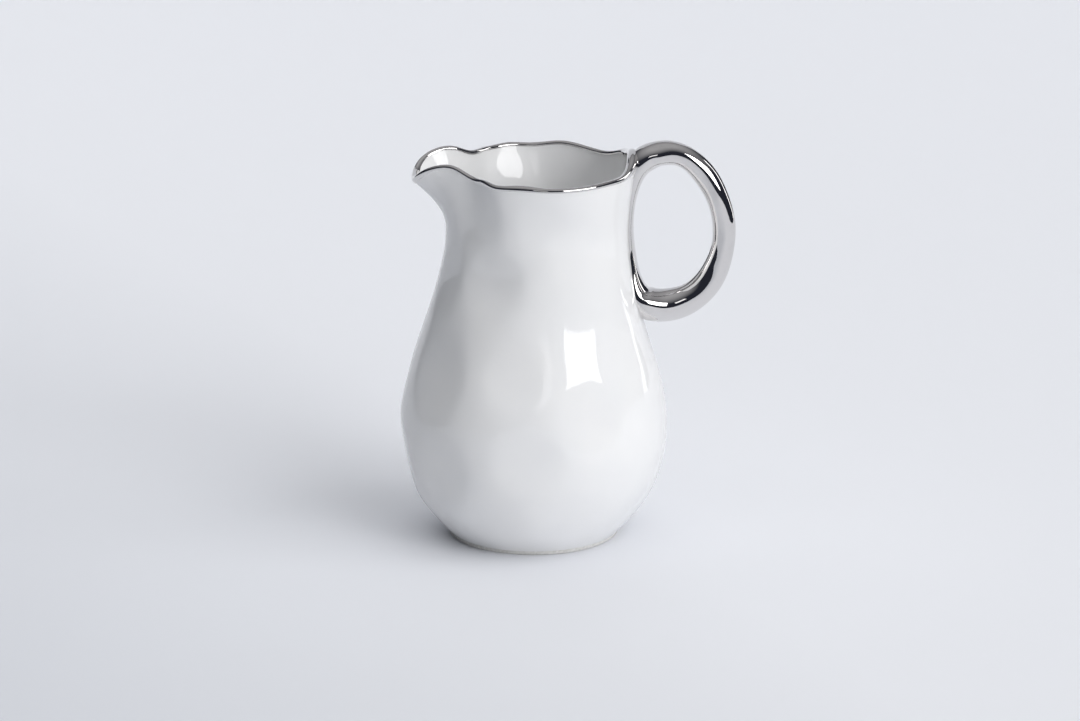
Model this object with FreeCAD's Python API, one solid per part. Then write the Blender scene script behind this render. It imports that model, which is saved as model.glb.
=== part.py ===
"""Water pitcher: a white glazed porcelain jug with a waved lip and a metal-plated ring handle.

Frame: millimetres, +Z up, origin at the centre of the foot, on the surface that the jug stands on.
The handle is on +X and the spout on -X. Angles round the jug are counted from the handle.
Every wall is a cubic B-spline led by its stations, so it runs a little inside them.
"""
import FreeCAD
import Part
import math
import os

Vec = FreeCAD.Vector

# ---------------------------------------------------------------- driving dimensions
# Jug: outer radius and height of the stations at the foot, belly, neck and lip
foot_radius, foot_height = 50.5, 2.5
belly_radius, belly_height = 80.4, 70.0
neck_radius, neck_height = 52.0, 184.0
lip_radius, lip_height = 58.5, 220.7
# Stations between them, as (share of the change in radius, share of the change in height)
bowl_curve = [(0.22, 0.10), (0.65, 0.32), (0.91, 0.64)]
shoulder_curve = [(0.17, 0.23), (0.50, 0.47), (0.81, 0.74)]
flare_curve = [(0.62, 0.61)]
wall = 4.0                # thickness of the cast wall and of the lip
floor = 4.5               # thickness of the jug's floor
corner_flat = 4.0         # flat margin of the inner floor inside its rounded corner
neck_lean = 2.2           # how far the neck sits towards the handle
lean_start = 105.0        # height where the lean begins

# Lip and spout
spout_reach = 14.2        # how far the spout stands out past the lip
spout_half_angle = 21.0   # half of the spout's width, degrees
spout_curl = 2.6          # power of the spout's outward curve
pinch_depth = 7.0         # the thumb pinch on each side of the spout
pinch_angle = 42.0        # degrees from the spout
pinch_width = 16.0        # degrees
lip_thickness = 2.6       # the wall thins to this at the lip
# Where the lip is thicker: (degrees from the handle, extra thickness, width in degrees)
lip_swells = [(0.0, 3.2, 24.0), (180.0, 0.8, 10.0), (-99.0, 1.4, 12.0)]
# Waves of the lip: (degrees from the handle, rise, width in degrees)
lip_waves = [
    (0.0, 8.0, 20.0), (26.0, 2.6, 13.0), (45.0, -1.0, 12.0), (75.0, 2.2, 13.0), (108.0, 1.4, 11.0),
    (131.0, 1.8, 10.0), (156.0, 7.0, 12.0), (180.0, -8.0, 12.0), (180.0, 2.5, 6.0),
    (-172.0, -1.2, 6.0), (-154.0, 7.0, 12.0), (-126.0, 2.0, 9.0), (-101.0, 1.2, 15.0),
    (-45.0, 0.6, 12.0),
]

# Hand-pressed facets: (degrees from the handle, height, half width, half height, depth)
facets = [
    (-132.0, 203.0, 20.0, 26.0, 3.0), (-118.0, 163.0, 21.0, 20.0, 3.3), (-142.0, 106.0, 22.0, 28.0, 3.2),
    (-134.0, 54.0, 21.0, 22.0, 2.6), (-99.0, 112.0, 19.0, 19.0, 2.0), (-92.0, 66.0, 22.0, 20.0, 2.2),
    (-66.0, 187.0, 18.0, 18.0, 1.2), (-64.0, 86.0, 22.0, 19.0, 2.2), (-86.0, 198.0, 15.0, 16.0, 1.2),
    (-156.0, 158.0, 15.0, 20.0, 1.2), (-38.0, 120.0, 19.0, 22.0, 1.4), (-34.0, 74.0, 21.0, 22.0, 1.2),
    (-44.0, 182.0, 16.0, 20.0, 1.0), (-172.0, 50.0, 22.0, 22.0, 2.0), (-110.0, 24.0, 23.0, 16.0, 1.4),
    (-70.0, 26.0, 24.0, 17.0, 1.3), (-30.0, 24.0, 22.0, 15.0, 1.0), (-152.0, 22.0, 20.0, 14.0, 1.0),
    (-10.0, 120.0, 18.0, 22.0, 1.2), (14.0, 58.0, 22.0, 24.0, 0.7), (54.0, 66.0, 25.0, 24.0, 1.6),
    (98.0, 62.0, 25.0, 24.0, 1.6), (140.0, 66.0, 25.0, 24.0, 1.6), (24.0, 118.0, 22.0, 24.0, 1.4),
    (78.0, 110.0, 24.0, 24.0, 1.6), (122.0, 112.0, 22.0, 24.0, 1.6), (168.0, 92.0, 22.0, 18.0, 1.4),
    (60.0, 162.0, 18.0, 22.0, 1.5), (104.0, 156.0, 18.0, 20.0, 1.4), (150.0, 158.0, 17.0, 22.0, 1.1),
    (76.0, 22.0, 24.0, 16.0, 1.3), (128.0, 24.0, 22.0, 16.0, 1.2), (24.0, 22.0, 22.0, 16.0, 1.0),
    (109.0, 196.0, 20.0, 20.0, 1.5),
]
facet_ridge = 0.1         # roundness of the ridges between the facets, as a share of their depth
facet_free_foot = 14.0    # the facets fade out over this height above the foot

# Foot ring
foot_set_in = 0.5         # from the edge of the jug's underside to the ring
foot_width = 6.0
foot_round = 0.9          # radius of the edges that it stands on

# Handle ring
handle_reach = 58.6       # from the neck to the outermost station of the centre line
handle_drop = 94.2        # from the top station of the centre line to its lowest one
handle_rise = 10.3        # the top station above the lip
# Stations of the free side, from the lip round to the lower root:
# (share of the reach, share of the drop, half thickness in the ring's plane, half width across it)
free_side = [
    (0.31, 0.00, 7.0, 8.8), (0.59, 0.005, 6.5, 7.0), (0.825, 0.155, 6.9, 6.6),
    (0.96, 0.36, 6.5, 6.6), (1.00, 0.565, 6.5, 6.6), (0.90, 0.787, 7.6, 6.9),
    (0.68, 0.945, 8.8, 7.4), (0.38, 1.00, 9.6, 10.0),
]
# Stations of the side that lies on the jug's wall, from the lower root up to the lip:
# (share of the drop, how far it is let into the wall, half thickness, half width)
wall_side = [
    (0.96, 2.0, 10.3, 15.0), (0.80, 0.5, 3.2, 9.5), (0.533, 0.9, 2.9, 6.5),
    (0.27, 1.5, 2.6, 7.2), (0.058, 1.0, 8.6, 11.0),
]

# Metal plating and joints
plating = 0.35            # thickness of the plating
lip_depth = 0.6           # how far the plating runs down each side below the lip's round
lip_depth_at_spout = 2.4
lip_depth_at_handle = 4.5
slip_seam = 0.6           # thickness of the clay slip that joins the handle to the jug

# Poles of the surfaces
around = 96               # round the jug
wall_rows = 34            # up the wall
lip_step = 30.0           # degrees between the rows of the half-round lip
section_poles = 16        # round the handle's section
handle_rows = 52          # along the handle


# ---------------------------------------------------------------- curves shared by the pieces
def smooth(x):
    x = min(max(x, 0.0), 1.0)
    return x * x * (3 - 2 * x)


def bump(distance, width):
    return math.exp(-(distance / width) ** 2)


def angle_between(a, b):
    """Degrees from b to a, from -180 to 180."""
    return (a - b + 180.0) % 360.0 - 180.0


def between(start, end, shares):
    return [tuple(a + (b - a) * s for a, b, s in zip(start, end, share)) for share in shares]


def wall_outline():
    """Stations of the outer wall from the foot to the lip, as (radius, height)."""
    foot, belly = (foot_radius, foot_height), (belly_radius, belly_height)
    neck, lip = (neck_radius, neck_height), (lip_radius, lip_height)
    lower = [foot] + between(foot, belly, bowl_curve) + [belly]
    upper = between(belly, neck, shoulder_curve) + [neck] + between(neck, lip, flare_curve) + [lip]
    return lower + upper


wall_stations = wall_outline()
wall_end = float(len(wall_stations) - 1)
corner_t = 0.9            # the inner wall turns into the floor here, on the outer wall's scale of stations
lip_taper = 1.5           # the wall thins towards the lip over this much of the same scale


def spline(stations, t, closed=False):
    """Uniform cubic B-spline led by the stations; an open one ends on its first and last station."""
    count = len(stations)
    if closed:
        i = int(math.floor(t))
        f = t - i
        led = [stations[(i + k - 1) % count] for k in range(4)]
    else:
        last = count - 1
        t = min(max(t, 0.0), float(last))
        i = min(int(t), last - 1)
        f = t - i
        before = [2 * a - b for a, b in zip(stations[0], stations[1])]
        after = [2 * a - b for a, b in zip(stations[-1], stations[-2])]
        led = ([before] + list(stations) + [after])[i:i + 4]
    weights = [(1 - f) ** 3, 3 * f ** 3 - 6 * f * f + 4, -3 * f ** 3 + 3 * f * f + 3 * f + 1, f ** 3]
    return [sum(w * s[j] for w, s in zip(weights, led)) / 6.0 for j in range(len(stations[0]))]


def lip_rise(angle):
    """Height of the lip above its mean, at an angle from the handle."""
    return sum(rise * bump(angle_between(angle, at), width) for at, rise, width in lip_waves)


def spout_growth(angle, share):
    """What the spout and its pinches add to the radius, at a share of the way from the neck to the lip."""
    from_spout = abs(angle_between(angle, 180.0))
    half = spout_half_angle * (1.5 - 0.5 * smooth(share))
    out = spout_reach * share ** spout_curl * math.exp(-(from_spout / half) ** 4)
    return out - pinch_depth * share ** 1.5 * bump(from_spout - pinch_angle, pinch_width)


def facet_depth(angle, radius, height):
    """How far the facets press the wall in; each is a shallow bowl with a rounded ridge round it."""
    total = 0.0
    for at, z, half_width, half_height, depth in facets:
        across = math.radians(angle_between(angle, at)) * radius / half_width
        up = (height - z) / half_height
        inside = (1.0 - across * across - up * up) / facet_ridge
        pressed = inside if inside > 30.0 else math.log1p(math.exp(max(inside, -40.0)))
        total += depth * facet_ridge * pressed
    return total * smooth((height - foot_height) / facet_free_foot)


def neck_centre(height):
    return neck_lean * smooth((height - lean_start) / (neck_height - lean_start))


def wall_point(angle, t):
    """Point of the outer wall; t runs from 0 at the foot to wall_end at the lip."""
    radius, height = spline(wall_stations, t)
    share = min(max((height - neck_height) / (lip_height - neck_height), 0.0), 1.0)
    radius += spout_growth(angle, share) - facet_depth(angle, radius, height)
    centre = neck_centre(height)
    height += lip_rise(angle) * smooth(share)
    a = math.radians(angle)
    return Vec(centre + radius * math.cos(a), radius * math.sin(a), height)


def wall_frame(angle, t):
    """Point of the outer wall, its outward normal and the direction up along the wall."""
    turn, climb = 0.05, 0.01
    low, high = max(t - climb, 0.0), min(t + climb, wall_end)
    up = (wall_point(angle, high) - wall_point(angle, low)).normalize()
    along = (wall_point(angle + turn, t) - wall_point(angle - turn, t)).normalize()
    return wall_point(angle, t), along.cross(up).normalize(), up


def thickness_at(angle, t):
    """Thickness of the cast wall, which thins and swells at the lip."""
    swell = sum(extra * bump(angle_between(angle, at), width) for at, extra, width in lip_swells)
    lip = lip_thickness + swell
    return wall + (lip - wall) * smooth((t - (wall_end - lip_taper)) / lip_taper)


def lip_plating_depth(angle):
    at_spout = (lip_depth_at_spout - lip_depth) * bump(angle_between(angle, 180.0), 11.0)
    return lip_depth + at_spout + (lip_depth_at_handle - lip_depth) * bump(angle_between(angle, 0.0), 20.0)


def plating_edge(angle):
    """Place of the plating's lower edge on the wall's scale of stations."""
    step = 0.2
    speed = (wall_point(angle, wall_end) - wall_point(angle, wall_end - step)).Length / step
    return wall_end - lip_plating_depth(angle) / speed


# ---------------------------------------------------------------- surfaces
def pole_scale_for(step_degrees):
    """Poles this far apart on a circle, moved out by this, give a cubic B-spline of the true radius."""
    return 3.0 / (2.0 + math.cos(math.radians(step_degrees)))


def angles_round():
    """Angles of the poles round the jug, from -180 to 180."""
    return [angle_between(360.0 * i / around, 0.0) for i in range(around)]


def circle_row(radius, height):
    """Poles of a level circle."""
    grow = pole_scale_for(360.0 / around)
    turns = [math.radians(angle) for angle in angles_round()]
    return [Vec(radius * grow * math.cos(a), radius * grow * math.sin(a), height) for a in turns]


def wall_row(place, inside, grow):
    """Poles on the outer or the inner face of the wall; place gives t at an angle."""
    row = []
    for angle in angles_round():
        t = place(angle)
        point, out, _ = wall_frame(angle, t)
        row.append(point - out * (thickness_at(angle, t) + grow) if inside else point + out * grow)
    return row


def lip_row(turn, grow):
    """Poles of the half-round lip; turn runs from 0 degrees on the outer wall to 180 on the inner one."""
    row = []
    a = math.radians(turn)
    for angle in angles_round():
        point, out, up = wall_frame(angle, wall_end)
        half = thickness_at(angle, wall_end) / 2
        reach = (half + grow) * pole_scale_for(lip_step)
        row.append(point - out * half + (out * math.cos(a) + up * math.sin(a)) * reach)
    return row


def up_to_plating(i):
    return lambda angle: plating_edge(angle) * i / wall_rows


def under_plating(angle):
    return (plating_edge(angle) + wall_end) / 2


def lip_rows(grow, below):
    """Rows over the lip, from the wall row this many below the plating's edge to the same one inside."""
    climb = range(wall_rows - below, wall_rows + 1)
    turns = [lip_step * i for i in range(int(180.0 / lip_step) + 1)]
    outside = [wall_row(up_to_plating(i), False, grow) for i in climb]
    inside = [wall_row(up_to_plating(i), True, grow) for i in reversed(climb)]
    half_way = [wall_row(under_plating, False, grow)]
    half_way_down = [wall_row(under_plating, True, grow)]
    return outside + half_way + [lip_row(turn, grow) for turn in turns] + half_way_down + inside


def surface_through(rows, closed_rows=False):
    """Cubic B-spline surface led by rows of poles; rows close, closed_rows closes the other way too."""
    columns, count = len(rows[0]), len(rows)
    poles = [[rows[v][u] for v in range(count)] for u in range(columns)]
    u_knots = [float(i) for i in range(columns + 1)]
    if closed_rows:
        v_knots = [float(i) for i in range(count + 1)]
        v_mults = [1] * (count + 1)
    else:
        v_knots = [float(i) for i in range(count - 2)]
        v_mults = [4] + [1] * (count - 4) + [4]
    made = Part.BSplineSurface()
    made.buildFromPolesMultsKnots(
        poles, [1] * (columns + 1), v_mults, u_knots, v_knots, True, closed_rows, 3, 3
    )
    return made


def solid_of(faces):
    shell = Part.makeShell(faces)
    if len(faces) > 1:
        shell.sewShape()
    made = Part.makeSolid(shell)
    if made.Volume < 0:
        made.reverse()
    return made


def largest(shape):
    """The piece outside the jug, without what a cut leaves inside it."""
    return max(shape.Solids, key=lambda s: s.Volume)


# ---------------------------------------------------------------- pieces
def jug_surface(grow=0.0):
    """Outer wall, half-round lip and inner wall in one skin, open at the underside and the inner floor.

    grow moves the outer wall and the lip outwards, for the seam that lies on them.
    """
    rows = [circle_row(foot_radius + grow, foot_height)]
    rows += [wall_row(up_to_plating(i), False, grow) for i in range(1, wall_rows)]
    rows += lip_rows(grow, 0)
    inner = [i for i in range(wall_rows - 1, 0, -1) if wall_end * i / wall_rows > corner_t]
    rows += [wall_row(up_to_plating(i), True, 0.0) for i in inner]
    inner_floor = foot_height + floor
    point, out, up = wall_frame(0.0, corner_t)
    corner = point - out * wall
    rise = corner.z - inner_floor
    reach = 2 * rise * up.x / up.z
    for share in (0.0, 0.33, 0.67, 1.0):
        rows.append(circle_row(corner.x - reach * share, inner_floor + rise * (1 - share) ** 2))
    rows.append(circle_row(corner.x - reach - corner_flat, inner_floor))
    return surface_through(rows)


def jug_solid(skin):
    skin_face = skin.toShape()
    faces = [skin_face]
    for edge in skin_face.Edges:
        if edge.BoundBox.ZLength < 1e-6:
            faces.append(Part.Face(Part.Wire([edge])))
    return solid_of(faces)


def foot_ring_solid():
    """The dry ring that the jug stands on, under the flat of the jug."""
    outer = foot_radius - foot_set_in
    ring = Part.makeCylinder(outer, foot_height).cut(Part.makeCylinder(outer - foot_width, foot_height))
    low = [e for e in ring.Edges if e.BoundBox.ZMax < 1e-6]
    return ring.makeFillet(foot_round, low)


def handle_stations():
    """Stations round the closed ring, as (distance from the axis, height, half thickness, half width)."""
    top = lip_height + handle_rise
    neck_side = neck_radius + neck_lean
    stations = []
    for reach, drop, half_in, half_across in free_side:
        stations.append((neck_side + reach * handle_reach, top - drop * handle_drop, half_in, half_across))
    for drop, let_in, half_in, half_across in wall_side:
        height = top - drop * handle_drop
        stations.append((wall_x_at(height) - let_in, height, half_in, half_across))
    return stations


def wall_x_at(height):
    """How far the outer wall stands from the axis on the handle's side, at a height."""
    low, high = 0.0, wall_end
    for _ in range(30):
        middle = (low + high) / 2
        if spline(wall_stations, middle)[1] < height:
            low = middle
        else:
            high = middle
    return spline(wall_stations, low)[0] + neck_centre(height)


def handle_solid(stations, shrink=0.0):
    """The closed ring, before it is fitted to the jug; shrink leaves room for the plating."""
    grow = pole_scale_for(360.0 / section_poles)
    step = 0.01
    rows = []
    for i in range(handle_rows):
        t = len(stations) * i / handle_rows
        x, z, half_in, half_across = spline(stations, t, True)
        ahead, behind = spline(stations, t + step, True), spline(stations, t - step, True)
        along = Vec(ahead[0] - behind[0], 0, ahead[1] - behind[1]).normalize()
        side = Vec(-along.z, 0, along.x) * ((half_in - shrink) * grow)
        across = Vec(0, (half_across - shrink) * grow, 0)
        turns = [2 * math.pi * k / section_poles for k in range(section_poles)]
        rows.append([Vec(x, 0, z) + side * math.cos(a) + across * math.sin(a) for a in turns])
    return solid_of([surface_through(rows, True).toShape()])


def rim_plating_solid(skin):
    """The plating over the lip: the jug's own skin, the same skin moved out, and the two edges between."""
    spare = 4
    cover = surface_through(lip_rows(plating, spare))
    span = float(len(lip_rows(0.0, 0)) - 1)
    on_skin = wall_rows - 1.0
    on_cover = spare - 1.0
    faces = [
        skin.toShape(0.0, float(around), on_skin, on_skin + span),
        cover.toShape(0.0, float(around), on_cover, on_cover + span),
    ]
    for place in (0.0, span):
        low = skin.vIso(on_skin + place).toShape()
        high = cover.vIso(on_cover + place).toShape()
        faces.append(Part.makeRuledSurface(low, high))
    return solid_of(faces)


def main():
    skin = jug_surface()
    jug = jug_solid(skin)
    jug_and_seam = jug_solid(jug_surface(slip_seam))
    stations = handle_stations()
    ring = handle_solid(stations)
    ring_core = handle_solid(stations, plating)
    outside = largest(ring_core.cut(jug))
    pieces = {
        "body": jug,
        "foot_ring": foot_ring_solid(),
        "rim_plating": largest(rim_plating_solid(skin).cut(ring)),
        "handle_core": largest(outside.cut(jug_and_seam)),
        "handle_plating": largest(ring.cut(ring_core).cut(jug)),
        "slip_seam": outside.common(jug_and_seam),
    }
    os.makedirs("parts", exist_ok=True)
    for name, shape in pieces.items():
        volume = "%.0f" % shape.Volume
        print(name, "solids", len(shape.Solids), "valid", shape.isValid(), "volume", volume, flush=True)
        shape.exportStep("parts/%s.step" % name)


main()
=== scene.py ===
import bpy
import bmesh
import math
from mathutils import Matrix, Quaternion, Vector


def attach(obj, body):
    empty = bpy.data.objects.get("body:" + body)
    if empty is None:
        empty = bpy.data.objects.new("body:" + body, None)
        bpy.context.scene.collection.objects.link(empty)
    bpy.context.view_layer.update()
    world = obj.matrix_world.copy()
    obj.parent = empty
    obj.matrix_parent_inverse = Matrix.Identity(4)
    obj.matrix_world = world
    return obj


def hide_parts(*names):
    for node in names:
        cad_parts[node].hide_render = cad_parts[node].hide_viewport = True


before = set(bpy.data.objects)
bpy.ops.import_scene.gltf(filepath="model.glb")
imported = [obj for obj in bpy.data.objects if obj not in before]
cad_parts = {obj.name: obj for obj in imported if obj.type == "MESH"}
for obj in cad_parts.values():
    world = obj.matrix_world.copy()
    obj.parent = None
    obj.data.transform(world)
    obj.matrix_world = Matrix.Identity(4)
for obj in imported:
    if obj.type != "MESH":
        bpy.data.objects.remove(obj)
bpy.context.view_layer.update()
scene = bpy.context.scene
mm = 0.001
print("frame loaded:", ", ".join(sorted(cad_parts)))

# the camera comes first, because everything is judged through it
cameraSettings = {
    "elevation": 15.9,
    "distance": 3.0,
    "aim": (0.0038, 0.0, 0.1045),
    "lens": 169.5,
    "sensor": 36.0,
    "farthest": 50.0,
}


def addCamera(s):
    data = bpy.data.cameras.new("studioCamera")
    data.lens = s["lens"]
    data.sensor_width = s["sensor"]
    data.sensor_fit = "HORIZONTAL"
    data.clip_end = s["farthest"]
    camera = bpy.data.objects.new("studioCamera", data)
    scene.collection.objects.link(camera)
    tilt = math.radians(s["elevation"])
    back = Vector((0, -math.cos(tilt), math.sin(tilt)))
    camera.location = Vector(s["aim"]) + back * s["distance"]
    camera.rotation_euler = (-back).to_track_quat("-Z", "Y").to_euler()
    scene.camera = camera


addCamera(cameraSettings)
scene.view_settings.view_transform = "Standard"


# the jug's sizes in millimetres; the lip and the handle are led by the same wall
jugSettings = {
    "foot": (50.5, 2.5),                                            # radius, height
    "belly": (80.4, 70.0),
    "neck": (52.0, 184.0),
    "lip": (58.5, 220.7),
    "bowl": [(0.22, 0.10), (0.65, 0.32), (0.91, 0.64)],             # shares of the way to the next one
    "shoulder": [(0.17, 0.23), (0.50, 0.47), (0.81, 0.74)],
    "flare": [(0.62, 0.61)],
    "wall": 4.0,
    "floor": 4.5,
    "underside": (14.0, 30.0, 44.0, 49.0),                          # radii of the rings under the foot
    "cornerFlat": 4.0,                                              # flat margin of the inner floor
    "cornerRows": (0.0, 0.33, 0.67, 1.0),
    "floorRows": (1.0, 0.75, 0.5, 0.25),
    "cornerAt": 0.9,                                                # where the wall turns into the floor
    "lean": 2.2,
    "leanStart": 105.0,
    "rows": 34,
    "columns": 96,
    "smoothing": 2,
}
spoutSettings = {
    "reach": 14.2,
    "halfAngle": 21.0,
    "wider": 0.5,                                                   # how much wider it is down at the neck
    "curl": 2.6,
    "squareness": 4,
    "pinchDepth": 7.0,
    "pinchAngle": 42.0,
    "pinchWidth": 16.0,
    "pinchCurl": 1.5,
}
lipSettings = {
    "thickness": 2.6,
    "taper": 1.5,
    "swells": [(0, 3.2, 24), (180, 0.8, 10), (-99, 1.4, 12)],      # angle, extra thickness, width
    "waves": [                                                      # angle, rise, width
        (0, 8, 20), (26, 2.6, 13), (45, -1, 12), (75, 2.2, 13), (108, 1.4, 11), (131, 1.8, 10),
        (156, 7, 12), (180, -8, 12), (180, 2.5, 6), (-172, -1.2, 6), (-154, 7, 12), (-126, 2, 9),
        (-101, 1.2, 15), (-45, 0.6, 12),
    ],
    "plating": 0.35,
    "depth": 0.6,
    "depthAtSpout": (2.4, 11.0),                                    # depth, width in degrees
    "depthAtHandle": (4.5, 20.0),
    "letIn": 0.1,                                                   # the plating's edges, into the glaze
    "under": 0.25,                                                  # its hidden side, into the glaze
    "rounding": (0.9, 0.12),                                        # share of the thickness, of the way up
    "middle": 0.5,                                                  # share of the way from edge to lip
    "underMiddle": 0.6,
    "turnStep": 30.0,
}
facetSettings = {
    "freeFoot": 14.0,
    "ridge": 0.10,                                                  # roundness of the ridges between facets
    "wellInside": 30.0,                                             # past these the curve is straight
    "wellOutside": -40.0,
    # angle, height, half width, half height, depth
    "facets": [
        (-132, 203, 20, 26, 3.0), (-118, 163, 21, 20, 3.3), (-142, 106, 22, 28, 3.2),
        (-134, 54, 21, 22, 2.6), (-99, 112, 19, 19, 2.0), (-92, 66, 22, 20, 2.2),
        (-66, 187, 18, 18, 1.2), (-64, 86, 22, 19, 2.2), (-86, 198, 15, 16, 1.2),
        (-156, 158, 15, 20, 1.2), (-38, 120, 19, 22, 1.4), (-34, 74, 21, 22, 1.2),
        (-44, 182, 16, 20, 1.0), (-172, 50, 22, 22, 2.0), (-110, 24, 23, 16, 1.4),
        (-70, 26, 24, 17, 1.3), (-30, 24, 22, 15, 1.0), (-152, 22, 20, 14, 1.0),
        (-10, 120, 18, 22, 1.2), (14, 58, 22, 24, 0.7), (54, 66, 25, 24, 1.6),
        (98, 62, 25, 24, 1.6), (140, 66, 25, 24, 1.6), (24, 118, 22, 24, 1.4),
        (78, 110, 24, 24, 1.6), (122, 112, 22, 24, 1.6), (168, 92, 22, 18, 1.4),
        (60, 162, 18, 22, 1.5), (104, 156, 18, 20, 1.4), (150, 158, 17, 22, 1.1),
        (76, 22, 24, 16, 1.3), (128, 24, 22, 16, 1.2), (24, 22, 22, 16, 1.0),
        (109, 196, 20, 20, 1.5),
    ],
}


def smoothStep(x):
    x = min(max(x, 0.0), 1.0)
    return x * x * (3 - 2 * x)


def bump(distance, width):
    return math.exp(-(distance / width) ** 2)


def angleBetween(a, b):
    return (a - b + 180.0) % 360.0 - 180.0


def between(start, end, shares):
    return [tuple(a + (b - a) * s for a, b, s in zip(start, end, share)) for share in shares]


def wallOutline(s):
    lower = [s["foot"]] + between(s["foot"], s["belly"], s["bowl"]) + [s["belly"]]
    upper = between(s["belly"], s["neck"], s["shoulder"]) + [s["neck"]]
    return lower + upper + between(s["neck"], s["lip"], s["flare"]) + [s["lip"]]


wallStations = wallOutline(jugSettings)
wallEnd = float(len(wallStations) - 1)


def spline(stations, t, closed=False):
    # uniform cubic, led by the stations
    if closed:
        i = int(math.floor(t))
        f = t - i
        led = [stations[(i + k - 1) % len(stations)] for k in range(4)]
    else:
        last = len(stations) - 1
        t = min(max(t, 0.0), float(last))
        i = min(int(t), last - 1)
        f = t - i
        before = [2 * a - b for a, b in zip(stations[0], stations[1])]
        after = [2 * a - b for a, b in zip(stations[-1], stations[-2])]
        led = ([before] + list(stations) + [after])[i:i + 4]
    weights = [(1 - f) ** 3, 3 * f ** 3 - 6 * f * f + 4, -3 * f ** 3 + 3 * f * f + 3 * f + 1, f ** 3]
    return [sum(w * s[j] for w, s in zip(weights, led)) / 6.0 for j in range(len(stations[0]))]


def lipRise(angle):
    return sum(rise * bump(angleBetween(angle, at), width) for at, rise, width in lipSettings["waves"])


def spoutGrowth(angle, share):
    s = spoutSettings
    fromSpout = abs(angleBetween(angle, 180.0))
    half = s["halfAngle"] * (1 + s["wider"] - s["wider"] * smoothStep(share))
    out = s["reach"] * share ** s["curl"] * math.exp(-(fromSpout / half) ** s["squareness"])
    pinch = s["pinchDepth"] * share ** s["pinchCurl"] * bump(fromSpout - s["pinchAngle"], s["pinchWidth"])
    return out - pinch


def facetDepth(angle, radius, height):
    # each facet flattens the wall like a pressed thumb, with a rounded ridge round it
    s = facetSettings
    total = 0.0
    soft = s["ridge"]
    for at, z, halfWidth, halfHeight, depth in s["facets"]:
        across = math.radians(angleBetween(angle, at)) * radius / halfWidth
        up = (height - z) / halfHeight
        inside = (1.0 - across * across - up * up) / soft
        if inside <= s["wellInside"]:
            inside = math.log1p(math.exp(max(inside, s["wellOutside"])))
        total += depth * soft * inside
    return total * smoothStep((height - jugSettings["foot"][1]) / s["freeFoot"])


def neckCentre(height):
    s = jugSettings
    return s["lean"] * smoothStep((height - s["leanStart"]) / (s["neck"][1] - s["leanStart"]))


def wallPoint(angle, t):
    # outer wall: t runs from 0 at the foot to wallEnd at the lip
    radius, height = spline(wallStations, t)
    neckHeight, lipHeight = jugSettings["neck"][1], jugSettings["lip"][1]
    share = min(max((height - neckHeight) / (lipHeight - neckHeight), 0.0), 1.0)
    radius += spoutGrowth(angle, share) - facetDepth(angle, radius, height)
    centre = neckCentre(height)
    height += lipRise(angle) * smoothStep(share)
    a = math.radians(angle)
    return Vector((centre + radius * math.cos(a), radius * math.sin(a), height))


def wallFrame(angle, t):
    # a point of the outer wall, the way out of it and the way up it
    turn, climb = 0.05, 0.01
    low, high = max(t - climb, 0.0), min(t + climb, wallEnd)
    up = (wallPoint(angle, high) - wallPoint(angle, low)).normalized()
    along = (wallPoint(angle + turn, t) - wallPoint(angle - turn, t)).normalized()
    return wallPoint(angle, t), along.cross(up).normalized(), up


def thicknessAt(angle, t):
    s = lipSettings
    wall = jugSettings["wall"]
    swell = sum(extra * bump(angleBetween(angle, at), width) for at, extra, width in s["swells"])
    lip = s["thickness"] + swell
    return wall + (lip - wall) * smoothStep((t - wallEnd + s["taper"]) / s["taper"])


def platingEdge(angle):
    # the plating's lower edge, as t on the wall
    s = lipSettings
    depth = s["depth"]
    for at, (there, width) in ((180.0, s["depthAtSpout"]), (0.0, s["depthAtHandle"])):
        depth += (there - s["depth"]) * bump(angleBetween(angle, at), width)
    step = 0.2
    speed = (wallPoint(angle, wallEnd) - wallPoint(angle, wallEnd - step)).length / step
    return wallEnd - depth / speed


# rows of cage points, which subdivision turns into the smooth skin
def cageScale(stepDegrees):
    return 3.0 / (2.0 + math.cos(math.radians(stepDegrees)))


columnAngles = [angleBetween(360.0 * i / jugSettings["columns"], 0.0) for i in range(jugSettings["columns"])]
edgeAt = {angle: platingEdge(angle) for angle in columnAngles}


def circleRow(radius, height):
    grow = radius * cageScale(360.0 / jugSettings["columns"])
    turns = [math.radians(angle) for angle in columnAngles]
    return [Vector((grow * math.cos(a), grow * math.sin(a), height)) for a in turns]


def wallRow(place, inside=False, grow=0.0):
    row = []
    for angle in columnAngles:
        t = place(angle)
        point, out, _ = wallFrame(angle, t)
        row.append(point - out * (thicknessAt(angle, t) + grow) if inside else point + out * grow)
    return row


def lipRow(turn, grow=0.0):
    row = []
    a = math.radians(turn)
    for angle in columnAngles:
        point, out, up = wallFrame(angle, wallEnd)
        half = thicknessAt(angle, wallEnd) / 2
        reach = (half + grow) * cageScale(lipSettings["turnStep"])
        row.append(point - out * half + (out * math.cos(a) + up * math.sin(a)) * reach)
    return row


def upToPlating(share):
    return lambda angle: edgeAt[angle] * share


def underPlating(share):
    return lambda angle: edgeAt[angle] + (wallEnd - edgeAt[angle]) * share


def lipTurns():
    step = lipSettings["turnStep"]
    return [step * i for i in range(int(180.0 / step) + 1)]


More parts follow.
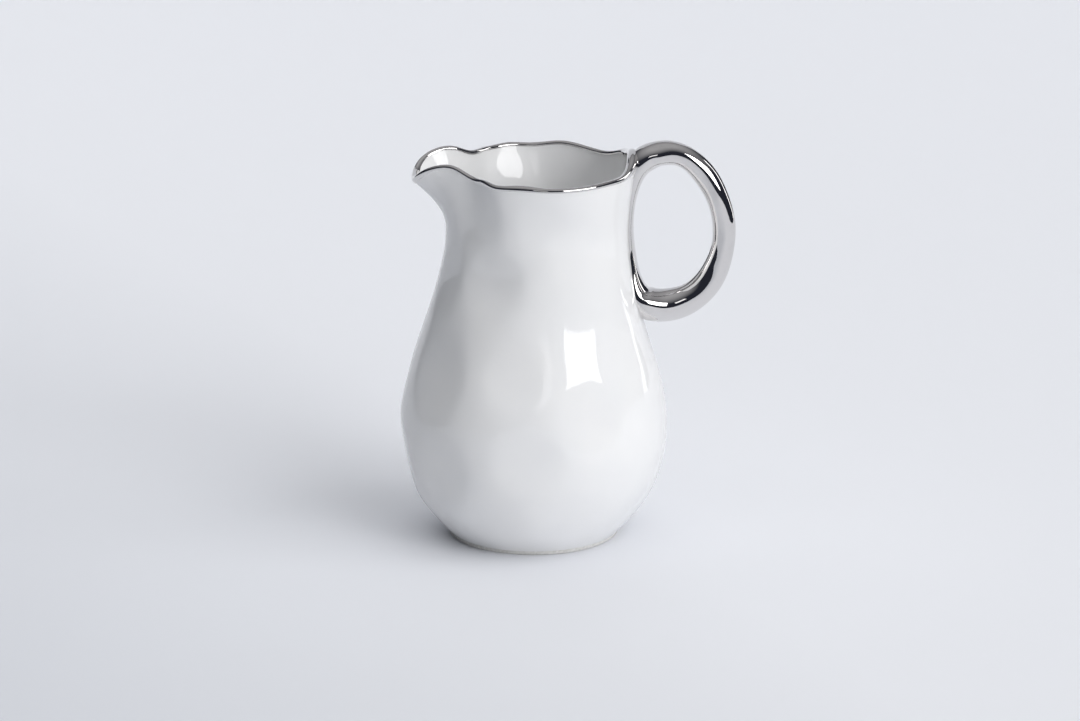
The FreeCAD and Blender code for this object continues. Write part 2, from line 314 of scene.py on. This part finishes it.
def meshOf(name, rows, closed=False, ends=(), sharpRows=(), smoothing=2):
    # quads between the rows, each row closed; ends is (point below the first row, point past the last)
    bm = bmesh.new()
    crease = bm.edges.layers.float.new("crease_edge")
    grid = [[bm.verts.new(p * mm) for p in row] for row in rows]
    columns = len(rows[0])
    spans = len(rows) if closed else len(rows) - 1
    for i in range(spans):
        low, high = grid[i], grid[(i + 1) % len(rows)]
        for k in range(columns):
            n = (k + 1) % columns
            bm.faces.new((low[k], low[n], high[n], high[k]))
    if ends:
        first, last = bm.verts.new(ends[0] * mm), bm.verts.new(ends[1] * mm)
        for k in range(columns):
            n = (k + 1) % columns
            bm.faces.new((grid[0][n], grid[0][k], first))
            bm.faces.new((grid[-1][k], grid[-1][n], last))
    for i in sharpRows:
        for k in range(columns):
            edge = bm.edges.get((grid[i][k], grid[i][(k + 1) % columns]))
            edge[crease] = 1.0
            edge.smooth = False
    bmesh.ops.recalc_face_normals(bm, faces=bm.faces)
    for face in bm.faces:
        face.smooth = True
    mesh = bpy.data.meshes.new(name)
    bm.to_mesh(mesh)
    bm.free()
    piece = bpy.data.objects.new(name, mesh)
    scene.collection.objects.link(piece)
    modifier = piece.modifiers.new("smoothSkin", "SUBSURF")
    modifier.levels = smoothing
    modifier.render_levels = smoothing
    modifier.use_limit_surface = True
    return piece


# jug: outer wall, rolled lip and inner wall in one skin
def addJug(s):
    count = s["rows"]
    footRadius, footHeight = s["foot"]
    underside = [circleRow(radius, footHeight) for radius in s["underside"]]
    rows = underside + [circleRow(footRadius, footHeight)]
    rows += [wallRow(upToPlating(i / count)) for i in range(1, count + 1)]
    middle = underPlating(lipSettings["middle"])
    rows += [wallRow(middle)] + [lipRow(turn) for turn in lipTurns()] + [wallRow(middle, True)]
    inner = [i for i in range(count, 0, -1) if wallEnd * i / count > s["cornerAt"]]
    rows += [wallRow(upToPlating(i / count), True) for i in inner]
    innerFloor = footHeight + s["floor"]
    point, out, up = wallFrame(0.0, s["cornerAt"])
    corner = point - out * s["wall"]
    rise = corner.z - innerFloor
    reach = 2 * rise * up.x / up.z
    for share in s["cornerRows"]:
        rows.append(circleRow(corner.x - reach * share, innerFloor + rise * (1 - share) ** 2))
    last = corner.x - reach - s["cornerFlat"]
    rows += [circleRow(last * share, innerFloor) for share in s["floorRows"]]
    ends = (Vector((0, 0, footHeight)), Vector((0, 0, innerFloor)))
    return meshOf("jug", rows, ends=ends, sharpRows=[len(underside)], smoothing=s["smoothing"])


jug = addJug(jugSettings)
print("jug built")


# lip plating: a thin skin wrapped over the lip and closed just inside the jug's own surface
def addLipPlating(s):
    cover = s["plating"]
    edge, start = s["rounding"]
    outside = [(0.0, -s["letIn"]), (0.0, cover * edge), (start, cover), (s["middle"], cover)]
    hidden = underPlating(s["underMiddle"])
    rows = [wallRow(underPlating(share), False, grow) for share, grow in outside]
    rows += [lipRow(turn, cover) for turn in lipTurns()]
    rows += [wallRow(underPlating(share), True, grow) for share, grow in reversed(outside)]
    rows += [wallRow(hidden, True, -s["under"])]
    rows += [lipRow(turn, -s["under"]) for turn in reversed(lipTurns())]
    rows += [wallRow(hidden, False, -s["under"])]
    return meshOf("lipPlating", rows, closed=True)


lipPlating = addLipPlating(lipSettings)
print("lip plating built")


# handle: a closed ring, one side of it let into the jug's wall
handleSettings = {
    "reach": 58.6,
    "drop": 94.2,
    "rise": 10.3,
    # share of the reach, share of the drop, half thickness, half width
    "freeSide": [
        (0.31, 0.00, 7.0, 8.8), (0.59, 0.005, 6.5, 7.0), (0.825, 0.155, 6.9, 6.6),
        (0.96, 0.36, 6.5, 6.6), (1.00, 0.565, 6.5, 6.6), (0.90, 0.787, 7.6, 6.9),
        (0.68, 0.945, 8.8, 7.4), (0.38, 1.00, 9.6, 10.0),
    ],
    # share of the drop, let into the wall, half thickness, half width
    "wallSide": [
        (0.96, 2.0, 10.3, 15.0), (0.80, 0.5, 3.2, 9.5), (0.533, 0.9, 2.9, 6.5),
        (0.27, 1.5, 2.6, 7.2), (0.058, 1.0, 8.6, 11.0),
    ],
    "unevenness": 0.5,
    "swell": 0.4,                                                   # most of the unevenness stands outwards
    "waves": [(4.1, 2, 0.0), (2.3, -1, 1.0), (1.7, 3, 2.0)],        # lengthwise, round, start
    # up to this far above the named station, let into the wall at most this far
    "keepIn": [("neck", 22.0, 3.0), ("lip", 4.0, 4.2)],
    "rows": 52,
    "sides": 16,
    "smoothing": 3,
}


def wallReach(height):
    # the wall's radius at a height, found by halving
    low, high = 0.0, wallEnd
    halvings = 30
    for _ in range(halvings):
        middle = (low + high) / 2
        if spline(wallStations, middle)[1] < height:
            low = middle
        else:
            high = middle
    return spline(wallStations, low)[0] + neckCentre(height)


def keptInWall(point):
    # so that nothing of the handle comes through to the inside of the jug
    radius = point.xy.length
    for station, above, letIn in handleSettings["keepIn"]:
        if point.z < jugSettings[station][1] + above:
            least = wallReach(min(point.z, jugSettings["lip"][1])) - letIn
            if radius < least:
                point.xy = point.xy * (least / radius)
            break
    return point


def handleStations(s):
    top = jugSettings["lip"][1] + s["rise"]
    neckSide = jugSettings["neck"][0] + jugSettings["lean"]
    stations = []
    for reach, drop, halfIn, halfAcross in s["freeSide"]:
        stations.append((neckSide + reach * s["reach"], top - drop * s["drop"], halfIn, halfAcross))
    for drop, letIn, halfIn, halfAcross in s["wallSide"]:
        height = top - drop * s["drop"]
        stations.append((wallReach(height) - letIn, height, halfIn, halfAcross))
    return stations


def addHandle(s):
    stations = handleStations(s)
    grow = cageScale(360.0 / s["sides"])
    step = 0.01
    rows = []
    for i in range(s["rows"]):
        t = len(stations) * i / s["rows"]
        x, z, halfIn, halfAcross = spline(stations, t, True)
        ahead, behind = spline(stations, t + step, True), spline(stations, t - step, True)
        along = Vector((ahead[0] - behind[0], 0, ahead[1] - behind[1])).normalized()
        side = Vector((-along.z, 0, along.x)) * halfIn * grow
        across = Vector((0, halfAcross * grow, 0))
        row = []
        for k in range(s["sides"]):
            a = 2 * math.pi * k / s["sides"]
            waves = sum(math.sin(lengthwise * t + turn * a + start) for lengthwise, turn, start in s["waves"])
            swell = 1 + s["unevenness"] * (s["swell"] + waves / len(s["waves"])) / max(halfIn, halfAcross)
            row.append(keptInWall(Vector((x, 0, z)) + (side * math.cos(a) + across * math.sin(a)) * swell))
        rows.append(row)
    return meshOf("handle", rows, closed=True, smoothing=s["smoothing"])


handle = addHandle(handleSettings)
print("handle built")


# foot ring: the dry, ground ring that the jug stands on
footSettings = {
    "setIn": 0.5,
    "width": 6.0,
    "round": 0.9,
    "corner": [(0.0, 1.3), (0.12, 0.55), (0.55, 0.12), (1.3, 0.0)],  # shares of the rounding, in and up
    "wobble": 0.12,
    "wobbles": [(5, 1.0, 1.0), (11, 2.0, 0.6)],                     # waves round the ring, start, share
}


def addFootRing(s):
    top = jugSettings["foot"][1]
    outer = jugSettings["foot"][0] - s["setIn"]
    inner = outer - s["width"]
    r = s["round"]
    profile = [(outer, top)] + [(outer - r * inward, r * up) for inward, up in s["corner"]]
    profile += [((outer + inner) / 2, 0.0)]
    profile += [(inner + r * inward, r * up) for inward, up in reversed(s["corner"])] + [(inner, top)]
    rows = []
    for radius, height in profile:
        row = circleRow(radius, height)
        for k, p in enumerate(row):
            a = math.radians(columnAngles[k])
            waves = sum(share * math.sin(count * a + start) for count, start, share in s["wobbles"])
            p.xy = p.xy * (1 + s["wobble"] * waves * (height < top) / radius)
        rows.append(row)
    return meshOf("footRing", rows, closed=True, sharpRows=[0, len(profile) - 1], smoothing=1)


footRing = addFootRing(footSettings)
print("foot ring built")


# shader helpers
def newGroup(name, inputs, outputs):
    group = bpy.data.node_groups.new(name, "ShaderNodeTree")
    for label, kind, value in inputs:
        socket = group.interface.new_socket(name=label, in_out="INPUT", socket_type=kind)
        socket.default_value = value
    for label, kind in outputs:
        group.interface.new_socket(name=label, in_out="OUTPUT", socket_type=kind)
    return group, group.nodes.new("NodeGroupInput"), group.nodes.new("NodeGroupOutput")


def node(tree, kind, **values):
    made = tree.nodes.new(kind)
    for key, value in values.items():
        setattr(made, key, value)
    return made


def noise(tree, place, scale, detail, rough=0.5):
    made = node(tree, "ShaderNodeTexNoise")
    made.inputs["Detail"].default_value = detail
    made.inputs["Roughness"].default_value = rough
    tree.links.new(place, made.inputs["Vector"])
    if isinstance(scale, (int, float)):
        made.inputs["Scale"].default_value = scale
    else:
        tree.links.new(scale, made.inputs["Scale"])
    return made.outputs["Fac"]


def calc(tree, operation, a, b=None, c=None):
    made = node(tree, "ShaderNodeMath", operation=operation)
    for socket, value in zip(made.inputs, (a, b, c)):
        if value is None:
            continue
        if isinstance(value, (int, float)):
            socket.default_value = value
        else:
            tree.links.new(value, socket)
    return made.outputs[0]


def remap(tree, value, low, high, toLow=0.0, toHigh=1.0):
    made = node(tree, "ShaderNodeMapRange")
    tree.links.new(value, made.inputs["Value"])
    for label, number in (("From Min", low), ("From Max", high), ("To Min", toLow), ("To Max", toHigh)):
        made.inputs[label].default_value = number
    return made.outputs["Result"]


def blendColours(tree, mask, first, second):
    made = node(tree, "ShaderNodeMix", data_type="RGBA")
    tree.links.new(mask, made.inputs["Factor"])
    for socket, value in ((made.inputs[6], first), (made.inputs[7], second)):
        if isinstance(value, tuple):
            socket.default_value = (*value, 1.0)
        else:
            tree.links.new(value, socket)
    return made.outputs[2]


# soft hand-made unevenness, for the glaze and the plating
rippleSettings = {
    "wide": {"detail": 1.0, "rough": 0.4},
    "fine": {"detail": 2.0, "rough": 0.5},
    "finer": 4.0,
}


def makeRipples(s):
    group, gin, gout = newGroup(
        "handRipples",
        [("Scale", "NodeSocketFloat", 30.0), ("Fine", "NodeSocketFloat", 0.2)],
        [("Height", "NodeSocketFloat")],
    )
    place = node(group, "ShaderNodeTexCoord").outputs["Object"]
    wide = noise(group, place, gin.outputs["Scale"], **s["wide"])
    fineScale = calc(group, "MULTIPLY", gin.outputs["Scale"], s["finer"])
    fine = noise(group, place, fineScale, **s["fine"])
    fine = calc(group, "MULTIPLY", fine, gin.outputs["Fine"])
    group.links.new(calc(group, "ADD", wide, fine), gout.inputs["Height"])
    return group


# handling marks, for the glaze and the plating
smudgeSettings = {
    "clouds": {"detail": 4.0, "rough": 0.6},
    "cloudsFrom": (0.48, 0.68),
    "streaks": {"detail": 3.0, "rough": 0.7},
    "streaksFrom": (0.45, 0.7),
    "streakShare": 0.35,
    "finer": 14.0,
}


def makeSmudges(s):
    group, gin, gout = newGroup(
        "handlingMarks",
        [("Scale", "NodeSocketFloat", 18.0), ("Amount", "NodeSocketFloat", 0.5)],
        [("Mask", "NodeSocketFloat")],
    )
    place = node(group, "ShaderNodeTexCoord").outputs["Object"]
    clouds = remap(group, noise(group, place, gin.outputs["Scale"], **s["clouds"]), *s["cloudsFrom"])
    fineScale = calc(group, "MULTIPLY", gin.outputs["Scale"], s["finer"])
    streaks = remap(group, noise(group, place, fineScale, **s["streaks"]), *s["streaksFrom"])
    both = calc(group, "MULTIPLY_ADD", streaks, s["streakShare"], clouds)
    group.links.new(calc(group, "MULTIPLY", both, gin.outputs["Amount"]), gout.inputs["Mask"])
    return group


# grain of unglazed clay, for the foot and the hidden pieces
grainSettings = {
    "grit": {"detail": 4.0, "rough": 0.7},
    "gritFrom": (0.35, 0.65),
    "pits": {"detail": 1.0},
    "pitsFrom": (0.62, 0.72),
    "coarser": 0.4,
}


def makeGrain(s):
    group, gin, gout = newGroup(
        "clayGrain",
        [("Scale", "NodeSocketFloat", 900.0)],
        [("Height", "NodeSocketFloat"), ("Mask", "NodeSocketFloat")],
    )
    place = node(group, "ShaderNodeTexCoord").outputs["Object"]
    grit = noise(group, place, gin.outputs["Scale"], **s["grit"])
    wideScale = calc(group, "MULTIPLY", gin.outputs["Scale"], s["coarser"])
    pits = remap(group, noise(group, place, wideScale, **s["pits"]), *s["pitsFrom"])
    group.links.new(calc(group, "SUBTRACT", grit, pits), gout.inputs["Height"])
    group.links.new(remap(group, grit, *s["gritFrom"]), gout.inputs["Mask"])
    return group


ripples = makeRipples(rippleSettings)
smudges = makeSmudges(smudgeSettings)
grain = makeGrain(grainSettings)
print("shader groups built")


def newMaterial(name):
    material = bpy.data.materials.new(name)
    material.use_nodes = True
    tree = material.node_tree
    shader = next(n for n in tree.nodes if n.type == "BSDF_PRINCIPLED")
    return material, tree, shader


def useGroup(tree, group, values):
    made = node(tree, "ShaderNodeGroup", node_tree=group)
    for label, value in values.items():
        made.inputs[label].default_value = value
    return made


def addRoughness(tree, shader, mask, ends):
    tree.links.new(remap(tree, mask, 0.0, 1.0, *ends), shader.inputs["Roughness"])


def addBump(tree, shader, height, size):
    made = node(tree, "ShaderNodeBump")
    for label, value in zip(("Strength", "Distance"), size):
        made.inputs[label].default_value = value
    tree.links.new(height, made.inputs["Height"])
    tree.links.new(made.outputs["Normal"], shader.inputs["Normal"])


glazeSettings = {
    "thin": (0.87, 0.87, 0.872),
    "pooled": (0.83, 0.835, 0.845),
    "poolScale": 22.0,
    "poolDetail": 2.0,
    "poolFrom": (0.35, 0.75),
    "marks": {"Scale": 20.0, "Amount": 0.5},
    "roughness": (0.045, 0.09),
    "ripples": {"Scale": 26.0, "Fine": 0.06},
    "bump": (0.6, 0.0011),                                          # strength, depth in metres
    "refraction": 1.52,
}


def makeGlaze(s):
    material, tree, shader = newMaterial("whiteGlaze")
    place = node(tree, "ShaderNodeTexCoord").outputs["Object"]
    pooling = remap(tree, noise(tree, place, s["poolScale"], s["poolDetail"]), *s["poolFrom"])
    tree.links.new(blendColours(tree, pooling, s["thin"], s["pooled"]), shader.inputs["Base Color"])
    addRoughness(tree, shader, useGroup(tree, smudges, s["marks"]).outputs["Mask"], s["roughness"])
    addBump(tree, shader, useGroup(tree, ripples, s["ripples"]).outputs["Height"], s["bump"])
    shader.inputs["IOR"].default_value = s["refraction"]
    return material


platingSettings = {
    "bright": (0.74, 0.725, 0.72),
    "dull": (0.62, 0.605, 0.60),
    "marks": {"Scale": 35.0, "Amount": 0.4},
    "roughness": (0.03, 0.12),
    "ripples": {"Scale": 55.0, "Fine": 0.05},
    "bump": (0.6, 0.0006),
}


def makePlating(s):
    material, tree, shader = newMaterial("silverPlating")
    marks = useGroup(tree, smudges, s["marks"]).outputs["Mask"]
    tree.links.new(blendColours(tree, marks, s["bright"], s["dull"]), shader.inputs["Base Color"])
    addRoughness(tree, shader, marks, s["roughness"])
    addBump(tree, shader, useGroup(tree, ripples, s["ripples"]).outputs["Height"], s["bump"])
    shader.inputs["Metallic"].default_value = 1.0
    return material


claySettings = {
    "dryFoot": {
        "pale": (0.76, 0.755, 0.74),
        "worn": (0.60, 0.59, 0.57),
        "roughness": (0.7, 0.9),
        "grain": {"Scale": 700.0},
        "bump": (0.5, 0.0002),
    },
    "bisque": {
        "pale": (0.84, 0.82, 0.78),
        "worn": (0.74, 0.71, 0.66),
        "roughness": (0.8, 0.95),
        "grain": {"Scale": 1100.0},
        "bump": (0.5, 0.0002),
    },
}


def makeClay(name, s):
    material, tree, shader = newMaterial(name)
    clay = useGroup(tree, grain, s["grain"])
    mask = clay.outputs["Mask"]
    tree.links.new(blendColours(tree, mask, s["pale"], s["worn"]), shader.inputs["Base Color"])
    addRoughness(tree, shader, mask, s["roughness"])
    addBump(tree, shader, clay.outputs["Height"], s["bump"])
    return material


glaze = makeGlaze(glazeSettings)
plating = makePlating(platingSettings)
dryFoot, bisque = (makeClay(name, values) for name, values in claySettings.items())
print("materials built")


def finishPiece(piece, material, nodes=()):
    piece.data.materials.clear()
    piece.data.materials.append(material)
    if nodes:
        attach(piece, "root")
        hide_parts(*nodes)


finishPiece(jug, glaze, ["body"])
finishPiece(lipPlating, plating, ["rim_plating"])
finishPiece(handle, plating, ["handle_plating"])
finishPiece(footRing, dryFoot, ["foot_ring"])
for name in ("handle_core", "slip_seam"):
    finishPiece(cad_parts[name], bisque)
print("pieces dressed")


# stage: one pale sheet that runs under the jug and rises behind it
stageSettings = {
    "halfWidth": 1.9,
    "flat": (-2.0, -1.0, 1.0, 2.2),                                 # from the front to where it bends up
    "bendRadius": 1.2,
    "bendSteps": 12,
    "height": 3.5,
    "colour": (0.872, 0.886, 0.925),
    "shaded": (0.68, 0.70, 0.745),                                  # where the paper lies away from the light
    "shadedFrom": (-0.55, 0.05),
    "slant": 0.5,                                                   # how far that edge runs back with Y
    "roughness": 0.9,
    "sheen": 0.1,
}


def addStage(s):
    bendStart, bend, steps = s["flat"][-1], s["bendRadius"], s["bendSteps"]
    profile = [(y, 0.0) for y in s["flat"]]
    for i in range(1, steps + 1):
        a = math.pi / 2 * i / steps
        profile.append((bendStart + bend * math.sin(a), bend * (1 - math.cos(a))))
    profile.append((bendStart + bend, s["height"]))
    bm = bmesh.new()
    left = [bm.verts.new((-s["halfWidth"], y, z)) for y, z in profile]
    right = [bm.verts.new((s["halfWidth"], y, z)) for y, z in profile]
    for i in range(len(profile) - 1):
        bm.faces.new((left[i], right[i], right[i + 1], left[i + 1]))
    mesh = bpy.data.meshes.new("paleSheet")
    bm.to_mesh(mesh)
    bm.free()
    sheet = bpy.data.objects.new("paleSheet", mesh)
    scene.collection.objects.link(sheet)
    for face in mesh.polygons:
        face.use_smooth = True
    material, tree, shader = newMaterial("palePaper")
    split = node(tree, "ShaderNodeSeparateXYZ")
    tree.links.new(node(tree, "ShaderNodeTexCoord").outputs["Object"], split.inputs[0])
    aside = calc(tree, "MULTIPLY_ADD", split.outputs["Y"], s["slant"], split.outputs["X"])
    lit = remap(tree, aside, *s["shadedFrom"])
    tree.links.new(blendColours(tree, lit, s["shaded"], s["colour"]), shader.inputs["Base Color"])
    shader.inputs["Roughness"].default_value = s["roughness"]
    shader.inputs["Specular IOR Level"].default_value = s["sheen"]
    mesh.materials.append(material)


addStage(stageSettings)


# studio light
softBoxAim = (0.0, 0.0, 0.12)
lightSettings = {
    # window, card and strip are only mirrored in the glaze and the plating; the suns light the surfaces
    "window": {
        "towards": (0.71, -0.596, 0.375),
        "distance": 2.0,
        "width": 1.25,
        "height": 0.74,
        "roll": -7.4,
        "power": 15.5,
    },
    "card": {
        "towards": (0.10, -1.0, 0.36),
        "distance": 3.2,
        "width": 0.9,
        "height": 0.45,
        "roll": 0.0,
        "power": 1.6,
    },
    "strip": {
        "towards": (0.86, 0.42, 0.20),
        "distance": 2.0,
        "width": 0.22,
        "height": 1.5,
        "roll": 0.0,
        "power": 2.6,
    },
    "sideSun": {"towards": (0.58, -0.76, 0.30), "strength": 1.34, "spread": 40.0},
    "highSun": {"towards": (0.62, -0.30, 0.72), "strength": 0.85, "spread": 45.0},
    "backSun": {"towards": (-0.35, 0.70, 0.62), "strength": 0.30, "spread": 60.0},
    "shadeSun": {"towards": (-0.75, -0.35, 0.55), "strength": 0.04, "spread": 60.0},
}
worldSettings = {
    # what lights the surfaces: a dim room, brighter on one side, with a bright patch overhead
    "shadeSide": (0.035, 0.036, 0.038),
    "lightSide": (0.14, 0.14, 0.143),
    "sidesFrom": (-0.7, 0.7),
    "overhead": (1.15, 1.16, 1.178),
    "overheadFrom": (0.74, 0.86),
    # what is mirrored: a dark room with a grey ceiling
    "mirrored": (0.022, 0.024, 0.034),
    "ceiling": (0.42, 0.42, 0.43),
    "ceilingFrom": (0.40, 0.96),
}


def addSun(name, s):
    data = bpy.data.lights.new(name, "SUN")
    data.energy = s["strength"]
    data.angle = math.radians(s["spread"])
    sun = bpy.data.objects.new(name, data)
    scene.collection.objects.link(sun)
    sun.visible_glossy = False
    sun.rotation_euler = (-Vector(s["towards"])).to_track_quat("-Z", "Y").to_euler()


def addSoftBox(name, s):
    data = bpy.data.lights.new(name, "AREA")
    data.shape = "RECTANGLE"
    data.size = s["width"]
    data.size_y = s["height"]
    data.energy = s["power"]
    box = bpy.data.objects.new(name, data)
    scene.collection.objects.link(box)
    box.visible_diffuse = False
    towards = Vector(s["towards"]).normalized()
    box.location = Vector(softBoxAim) + towards * s["distance"]
    turned = (-towards).to_track_quat("-Z", "Y") @ Quaternion((0, 0, 1), math.radians(s["roll"]))
    box.rotation_euler = turned.to_euler()


def addWorld(s):
    world = bpy.data.worlds.new("studioWorld")
    scene.world = world
    world.use_nodes = True
    tree = world.node_tree
    background = next(n for n in tree.nodes if n.type == "BACKGROUND")
    rays = node(tree, "ShaderNodeLightPath")
    split = node(tree, "ShaderNodeSeparateXYZ")
    tree.links.new(node(tree, "ShaderNodeTexCoord").outputs["Generated"], split.inputs[0])
    aside = remap(tree, split.outputs["X"], *s["sidesFrom"])
    sides = blendColours(tree, aside, s["shadeSide"], s["lightSide"])
    above = remap(tree, split.outputs["Z"], *s["overheadFrom"])
    soft = blendColours(tree, above, sides, s["overhead"])
    above = remap(tree, split.outputs["Z"], *s["ceilingFrom"])
    mirrored = blendColours(tree, above, s["mirrored"], s["ceiling"])
    colour = blendColours(tree, rays.outputs["Is Glossy Ray"], soft, mirrored)
    tree.links.new(colour, background.inputs["Color"])


for name, values in lightSettings.items():
    addLight = addSun if "spread" in values else addSoftBox
    addLight(name, values)
addWorld(worldSettings)
print("light set")
